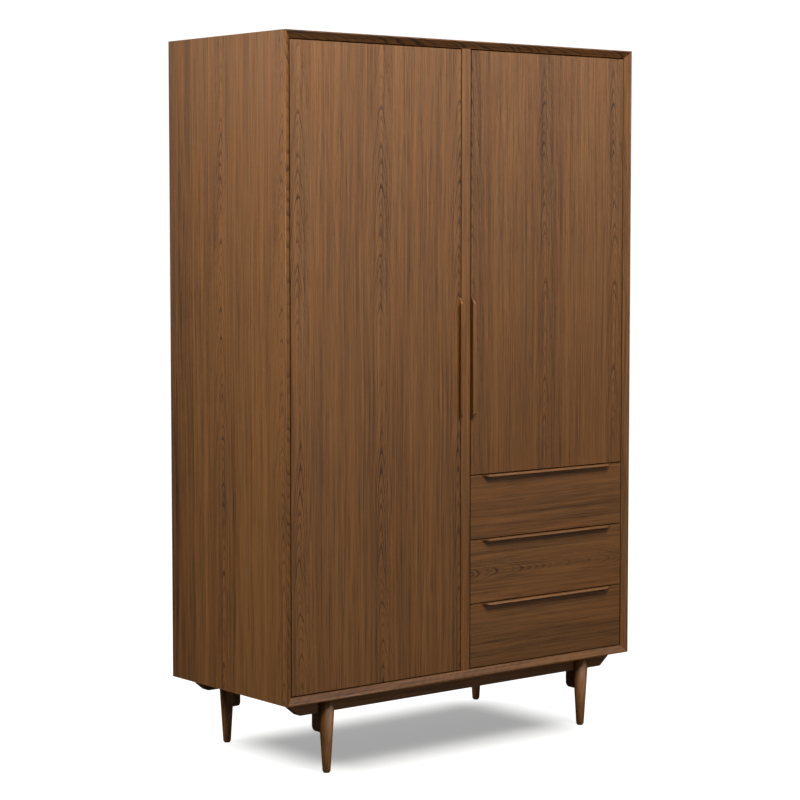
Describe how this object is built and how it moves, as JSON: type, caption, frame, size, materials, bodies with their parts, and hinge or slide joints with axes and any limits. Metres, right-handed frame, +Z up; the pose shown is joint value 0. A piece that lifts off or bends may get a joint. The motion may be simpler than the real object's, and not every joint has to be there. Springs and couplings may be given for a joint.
{
  "type": "two-door armoire with drawers",
  "caption": "Free-standing wooden armoire with a tall left door, a right door above a stack of drawers, a bevelled frame, long lip pulls and round tapered legs.",
  "frame": {"origin": "centre of the footprint, on the floor", "axes": "+X to the right across the front, +Y from the front towards the back (the doors face -Y), +Z up"},
  "size_m": [1.2, 0.522, 1.89],
  "materials": {
    "carcass_oak": "satin brown-stained oak veneer with fine dark pores",
    "front_oak": "satin brown-stained oak veneer, book-matched leaves",
    "pull_oak": "satin brown-stained solid oak",
    "base_oak": "satin brown-stained solid oak",
    "shelf_oak": "satin brown-stained oak veneer",
    "back_veneer": "thin matt oak-veneered panel",
    "birch_ply": "clear-lacquered birch plywood",
    "zinc_steel": "zinc-plated steel",
    "dark_rod": "dark bronze powder coat",
    "black_nylon": "matt black nylon"
  },
  "bodies": {
    "carcass": {"left_side_panel": "carcass_oak", "right_side_panel": "carcass_oak", "top_panel": "carcass_oak", "bottom_panel": "carcass_oak", "centre_partition": "carcass_oak", "left_back_panel": "back_veneer", "right_back_panel": "back_veneer", "drawer_divider": "shelf_oak", "hat_shelf": "shelf_oak", "upper_shelf": "shelf_oak", "lower_shelf": "shelf_oak", "shelf_pins": "zinc_steel", "hanging_rod": "dark_rod", "rod_sockets": "dark_rod", "front_beam": "base_oak", "rear_beam": "base_oak", "left_base_rail": "base_oak", "right_base_rail": "base_oak", "front_left_leg": "base_oak", "front_right_leg": "base_oak", "rear_left_leg": "base_oak", "rear_right_leg": "base_oak", "foot_glides": "black_nylon", "base_screws": "zinc_steel", "left_hinge_arms": "zinc_steel", "left_hinge_plates": "zinc_steel", "right_hinge_arms": "zinc_steel", "right_hinge_plates": "zinc_steel", "cabinet_slides": "zinc_steel"},
    "left_door": {"left_door_panel": "front_oak", "left_door_pull": "pull_oak", "left_hinge_cups": "zinc_steel"},
    "left_links": {"left_hinge_links": "zinc_steel"},
    "right_door": {"right_door_panel": "front_oak", "right_door_pull": "pull_oak", "right_hinge_cups": "zinc_steel"},
    "right_links": {"right_hinge_links": "zinc_steel"},
    "lower_drawer": {"lower_drawer_front": "front_oak", "lower_drawer_pull": "pull_oak", "lower_drawer_sides": "birch_ply", "lower_drawer_ends": "birch_ply", "lower_drawer_bottom": "birch_ply", "lower_drawer_slides": "zinc_steel"},
    "lower_slide_middles": {"lower_middle_slides": "zinc_steel"},
    "middle_drawer": {"middle_drawer_front": "front_oak", "middle_drawer_pull": "pull_oak", "middle_drawer_sides": "birch_ply", "middle_drawer_ends": "birch_ply", "middle_drawer_bottom": "birch_ply", "middle_drawer_slides": "zinc_steel"},
    "middle_slide_middles": {"middle_middle_slides": "zinc_steel"},
    "upper_drawer": {"upper_drawer_front": "front_oak", "upper_drawer_pull": "pull_oak", "upper_drawer_sides": "birch_ply", "upper_drawer_ends": "birch_ply", "upper_drawer_bottom": "birch_ply", "upper_drawer_slides": "zinc_steel"},
    "upper_slide_middles": {"upper_middle_slides": "zinc_steel"}
  },
  "joints": [
    {"name": "left_door_hinge", "type": "hinge", "parent": "carcass", "child": "left_door", "pos_m": [-0.564, -0.24, 1.0425], "axis": [0, 0, -1], "range_deg": [0, 105]},
    {"name": "left_link_hinge", "type": "hinge", "parent": "carcass", "child": "left_links", "pos_m": [-0.534, -0.22, 1.0425], "axis": [0, 0, 1], "range_deg": [0, 22.5]},
    {"name": "right_door_hinge", "type": "hinge", "parent": "carcass", "child": "right_door", "pos_m": [0.564, -0.24, 1.305], "axis": [0, 0, 1], "range_deg": [0, 105]},
    {"name": "right_link_hinge", "type": "hinge", "parent": "carcass", "child": "right_links", "pos_m": [0.534, -0.22, 1.305], "axis": [0, 0, -1], "range_deg": [0, 22.5]},
    {"name": "lower_drawer_slide", "type": "slide", "parent": "carcass", "child": "lower_drawer", "axis": [0, -1, 0], "range_m": [0, 0.43]},
    {"name": "lower_middle_slide", "type": "slide", "parent": "carcass", "child": "lower_slide_middles", "axis": [0, -1, 0], "range_m": [0, 0.215]},
    {"name": "middle_drawer_slide", "type": "slide", "parent": "carcass", "child": "middle_drawer", "axis": [0, -1, 0], "range_m": [0, 0.43]},
    {"name": "middle_middle_slide", "type": "slide", "parent": "carcass", "child": "middle_slide_middles", "axis": [0, -1, 0], "range_m": [0, 0.215]},
    {"name": "upper_drawer_slide", "type": "slide", "parent": "carcass", "child": "upper_drawer", "axis": [0, -1, 0], "range_m": [0, 0.43]},
    {"name": "upper_middle_slide", "type": "slide", "parent": "carcass", "child": "upper_slide_middles", "axis": [0, -1, 0], "range_m": [0, 0.215]}
  ],
  "couplings": [
    {"joint": "left_link_hinge", "follows": "left_door_hinge", "ratio": 0.21},
    {"joint": "right_link_hinge", "follows": "right_door_hinge", "ratio": 0.21},
    {"joint": "lower_middle_slide", "follows": "lower_drawer_slide", "ratio": 0.5},
    {"joint": "middle_middle_slide", "follows": "middle_drawer_slide", "ratio": 0.5},
    {"joint": "upper_middle_slide", "follows": "upper_drawer_slide", "ratio": 0.5}
  ]
}
